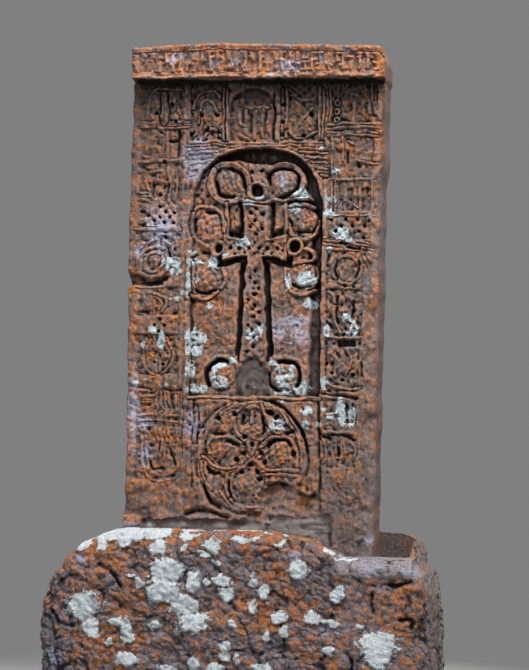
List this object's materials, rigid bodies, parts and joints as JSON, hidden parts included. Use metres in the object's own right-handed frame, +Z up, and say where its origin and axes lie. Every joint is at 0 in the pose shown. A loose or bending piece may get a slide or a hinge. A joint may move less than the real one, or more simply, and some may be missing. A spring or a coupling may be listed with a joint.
{
  "type": "khachkar",
  "caption": "Upright stone slab carved with a leafed cross in an arched niche, with a cornice and bordered panels, standing in the socket of a rough stone plinth.",
  "frame": {"origin": "middle of the plinth's flat underside", "axes": "+Z up, the carved face looks along -Y, +X to the right as seen from the front"},
  "size_m": [1.4, 0.7, 2.34],
  "materials": {
    "carved_stone": "weathered, mauve brown under orange and pale lichen",
    "rough_stone": "rough, grey brown with orange and white lichen patches",
    "chip_stone": "broken, orange with lichen"
  },
  "bodies": {
    "root": {"cross_slab": "carved_stone", "plinth_block": "rough_stone", "wedge_stone": "chip_stone"}
  },
  "joints": []
}
